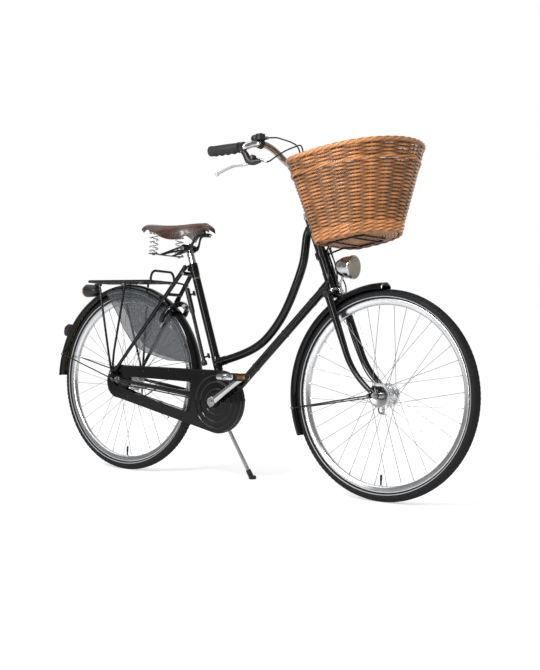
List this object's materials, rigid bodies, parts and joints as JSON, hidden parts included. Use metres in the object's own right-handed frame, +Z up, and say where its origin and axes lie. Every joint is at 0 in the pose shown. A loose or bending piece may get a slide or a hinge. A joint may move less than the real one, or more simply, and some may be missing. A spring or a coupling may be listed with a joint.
{
  "type": "roadster bicycle",
  "caption": "Black loop-frame roadster bicycle on its side stand, with wicker basket, full chaincase, sprung leather saddle and rear rack.",
  "frame": {"origin": "on the ground under the middle of the bicycle's bounding box, standing on its side stand", "axes": "+X forwards, +Y to the rider's left, +Z up; the bicycle leans 3.3 degrees to its left"},
  "size_m": [1.799, 0.613, 1.1527],
  "materials": {
    "black_enamel": "gloss",
    "black_plastic": "satin",
    "black_rubber": "matte",
    "tyre_rubber": "matte",
    "chrome": "polished",
    "alloy": "satin",
    "steel": "satin",
    "brown_leather": "satin",
    "wicker": "matte",
    "smoked_panel": "gloss",
    "clear_lens": "gloss",
    "red_lens": "gloss"
  },
  "bodies": {
    "frame": {"main_frame": "black_enamel", "rear_frame": "black_enamel", "chain": "steel", "chaincase": "black_enamel", "rear_mudguard": "black_enamel", "rear_rack": "black_enamel", "rear_lamp": "black_plastic", "rear_lamp_lens": "red_lens", "rear_reflector": "black_plastic", "skirt_guard_left": "smoked_panel", "skirt_guard_right": "smoked_panel", "ring_lock": "black_enamel", "pump": "black_plastic", "rear_brake_plate": "alloy", "rear_brake_cable": "black_plastic", "gear_cable": "black_plastic"},
    "steering": {"fork": "black_enamel", "headset_locknut": "chrome", "stem": "chrome", "handlebar": "chrome", "grip_left": "black_rubber", "grip_right": "black_rubber", "brake_perch_left": "black_plastic", "brake_perch_right": "black_plastic", "gear_shifter": "black_plastic", "bell": "chrome", "headlamp": "chrome", "headlamp_lens": "clear_lens", "front_mudguard": "black_enamel", "basket": "wicker", "basket_support": "black_enamel", "basket_strap_left": "brown_leather", "basket_strap_right": "brown_leather", "front_brake_cable": "black_plastic", "front_brake_plate": "alloy"},
    "seat": {"seat_post": "chrome", "saddle_frame": "black_enamel", "saddle_cantle": "black_enamel", "saddle_top": "brown_leather", "saddle_spring_left": "chrome", "saddle_spring_right": "chrome"},
    "front_wheel": {"front_tyre": "tyre_rubber", "front_rim": "alloy", "front_hub": "alloy"},
    "rear_wheel": {"rear_tyre": "tyre_rubber", "rear_rim": "alloy", "rear_hub": "alloy"},
    "crank": {"crank_left": "chrome", "crank_right": "chrome"},
    "sprocket": {"sprocket": "steel"},
    "pedal_left": {"pedal_left": "black_rubber"},
    "pedal_right": {"pedal_right": "black_rubber"},
    "stand": {"stand_leg": "steel"},
    "lock": {"lock_shackle": "chrome"},
    "front_brake": {"front_brake_arm": "steel"},
    "rear_brake": {"rear_brake_arm": "steel"},
    "lever_left": {"brake_lever_left": "alloy"},
    "lever_right": {"brake_lever_right": "alloy"},
    "shifter": {"shift_lever": "black_plastic"},
    "bell": {"bell_lever": "steel"}
  },
  "joints": [
    {"name": "steer", "type": "hinge", "parent": "frame", "child": "steering", "pos_m": [0.36278, -0.02457, 0.66294], "axis": [-0.3971, 0.0528, 0.9162], "range_deg": [-65, 65], "deforming": ["rear_brake_cable", "gear_cable"]},
    {"name": "seat_height", "type": "slide", "parent": "frame", "child": "seat", "axis": [-0.3453, 0.054, 0.9369], "range_m": [-0.02, 0.045]},
    {"name": "front_wheel_spin", "type": "hinge", "parent": "steering", "child": "front_wheel", "pos_m": [0.56747, -0.04368, 0.33148], "axis": [0, 0.9983, -0.0576], "continuous": true},
    {"name": "rear_wheel_spin", "type": "hinge", "parent": "frame", "child": "rear_wheel", "pos_m": [-0.53153, -0.04369, 0.33148], "axis": [0, 0.9983, -0.0576], "continuous": true},
    {"name": "crank_spin", "type": "hinge", "parent": "frame", "child": "crank", "pos_m": [-0.06653, -0.04685, 0.27657], "axis": [0, 0.9983, -0.0576], "continuous": true},
    {"name": "sprocket_spin", "type": "hinge", "parent": "frame", "child": "sprocket", "pos_m": [-0.53153, -0.04369, 0.33148], "axis": [0, 0.9983, -0.0576], "continuous": true},
    {"name": "pedal_left_spin", "type": "hinge", "parent": "crank", "child": "pedal_left", "pos_m": [-0.20822, -0.05205, 0.18645], "axis": [0, 0.9983, -0.0576], "continuous": true},
    {"name": "pedal_right_spin", "type": "hinge", "parent": "crank", "child": "pedal_right", "pos_m": [0.07516, -0.04165, 0.36669], "axis": [0, 0.9983, -0.0576], "continuous": true},
    {"name": "stand_fold", "type": "hinge", "parent": "frame", "child": "stand", "pos_m": [-0.11853, -0.00935, 0.22332], "axis": [0.1654, 0.9479, 0.2721], "range_deg": [0, 116]},
    {"name": "lock_close", "type": "hinge", "parent": "frame", "child": "lock", "pos_m": [-0.32356, -0.02991, 0.57032], "axis": [0.7547, -0.0378, -0.655], "range_deg": [0, 124]},
    {"name": "lever_left_pull", "type": "hinge", "parent": "steering", "child": "lever_left", "pos_m": [0.24047, 0.28452, 1.03776], "axis": [0, 0.9983, -0.0576], "range_deg": [0, 16], "stiffness_Nm_per_rad": 1.2, "springref_deg": -11.46},
    {"name": "lever_right_pull", "type": "hinge", "parent": "steering", "child": "lever_right", "pos_m": [0.24047, -0.28853, 1.0708], "axis": [0, 0.9983, -0.0576], "range_deg": [0, 16], "stiffness_Nm_per_rad": 1.2, "springref_deg": -11.46},
    {"name": "front_brake_swing", "type": "hinge", "parent": "steering", "child": "front_brake", "pos_m": [0.54247, -0.04484, 0.31151], "axis": [0, 0.9983, -0.0576], "range_deg": [0, 12.8], "deforming": ["front_brake_cable"]},
    {"name": "rear_brake_swing", "type": "hinge", "parent": "frame", "child": "rear_brake", "pos_m": [-0.50553, -0.04484, 0.31151], "axis": [0, 0.9983, -0.0576], "range_deg": [-12.8, 0], "deforming": ["rear_brake_cable"]},
    {"name": "shift", "type": "hinge", "parent": "steering", "child": "shifter", "pos_m": [0.23397, -0.24375, 1.1178], "axis": [0, 0.0576, 0.9983], "range_deg": [0, 45]},
    {"name": "bell_ring", "type": "hinge", "parent": "steering", "child": "bell", "pos_m": [0.23297, 0.1666, 1.07741], "axis": [0, 0.0576, 0.9983], "range_deg": [0, 22], "stiffness_Nm_per_rad": 0.05, "springref_deg": -5.73}
  ],
  "couplings": [
    {"joint": "sprocket_spin", "follows": "crank_spin", "ratio": 2.2105},
    {"joint": "front_brake_swing", "follows": "lever_right_pull", "ratio": 0.8},
    {"joint": "rear_brake_swing", "follows": "lever_left_pull", "ratio": -0.8}
  ]
}
